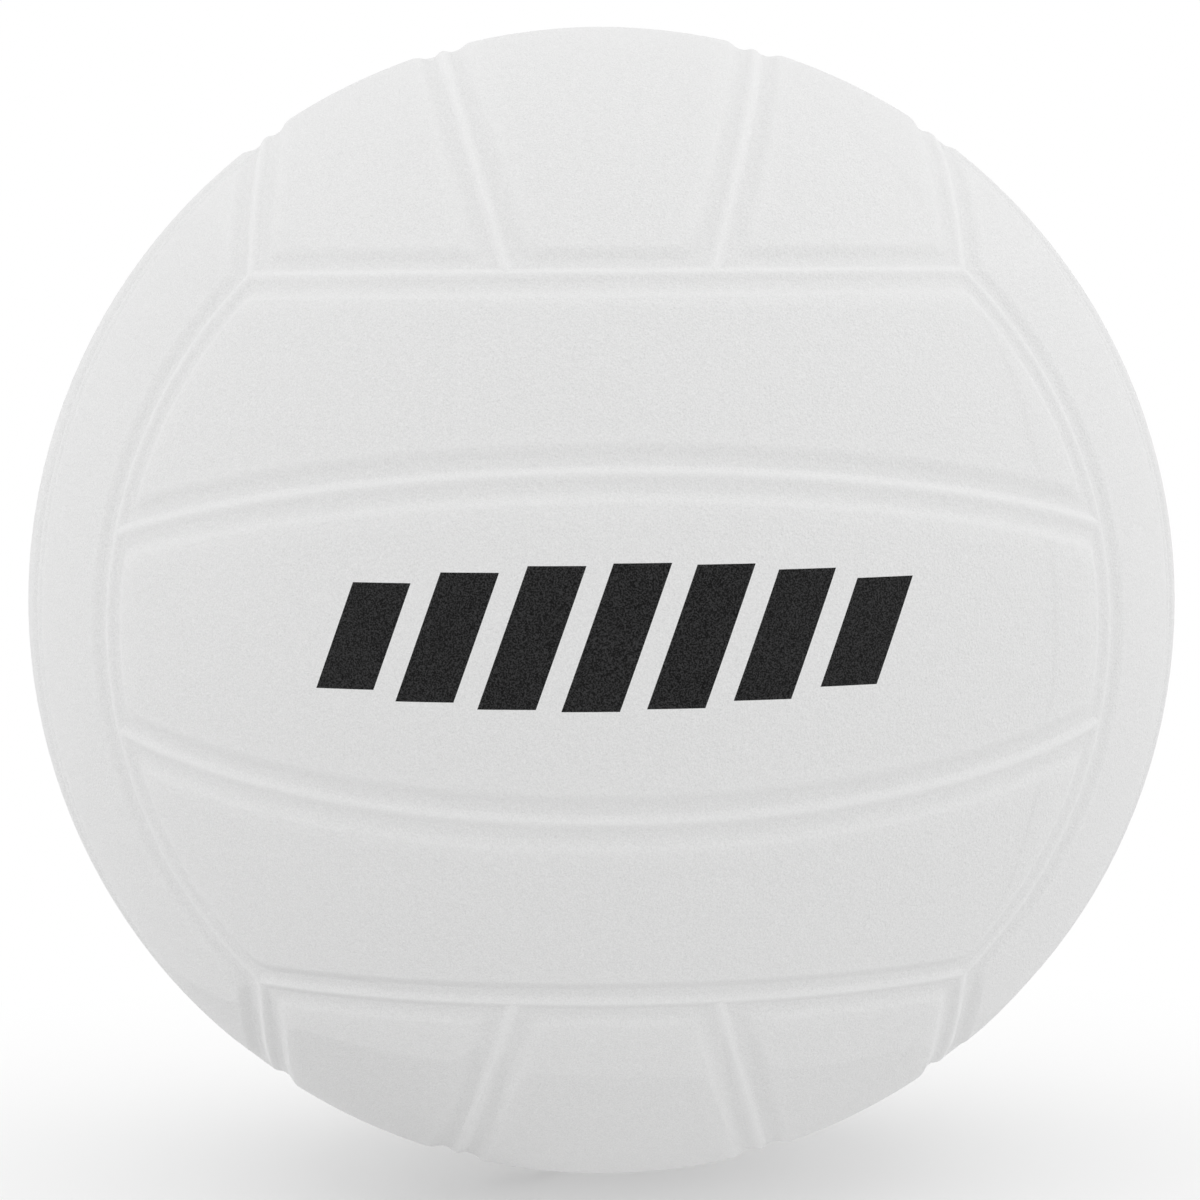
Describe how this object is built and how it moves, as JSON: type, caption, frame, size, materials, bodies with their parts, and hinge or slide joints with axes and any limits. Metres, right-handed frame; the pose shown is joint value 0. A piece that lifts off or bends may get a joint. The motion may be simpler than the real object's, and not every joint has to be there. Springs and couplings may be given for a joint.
{
  "type": "volleyball",
  "caption": "Inflated white rubber volleyball with its cover panels in groups of strips, parted by moulded channels with a raised ridge.",
  "frame": {"origin": "centre of the ball", "axes": "+Z out through the valve, -Y out through the middle of the front group of panels, whose strips run along X"},
  "size_m": [0.21, 0.21, 0.2099],
  "materials": {
    "cover_rubber": "matte",
    "carcass_rubber": "matte",
    "thread": "matte",
    "bladder_rubber": "satin",
    "plug_rubber": "satin"
  },
  "bodies": {
    "root": {"front_upper_panel": "cover_rubber", "front_middle_panel": "cover_rubber", "front_lower_panel": "cover_rubber", "back_upper_panel": "cover_rubber", "back_middle_panel": "cover_rubber", "back_lower_panel": "cover_rubber", "left_front_panel": "cover_rubber", "left_middle_panel": "cover_rubber", "left_rear_panel": "cover_rubber", "right_front_panel": "cover_rubber", "right_middle_panel": "cover_rubber", "right_rear_panel": "cover_rubber", "top_left_panel": "cover_rubber", "top_middle_panel": "cover_rubber", "top_right_panel": "cover_rubber", "bottom_left_panel": "cover_rubber", "bottom_middle_panel": "cover_rubber", "bottom_right_panel": "cover_rubber", "carcass": "carcass_rubber", "thread_winding": "thread", "bladder": "bladder_rubber", "valve_seat": "bladder_rubber", "valve_plug": "plug_rubber"}
  },
  "joints": []
}
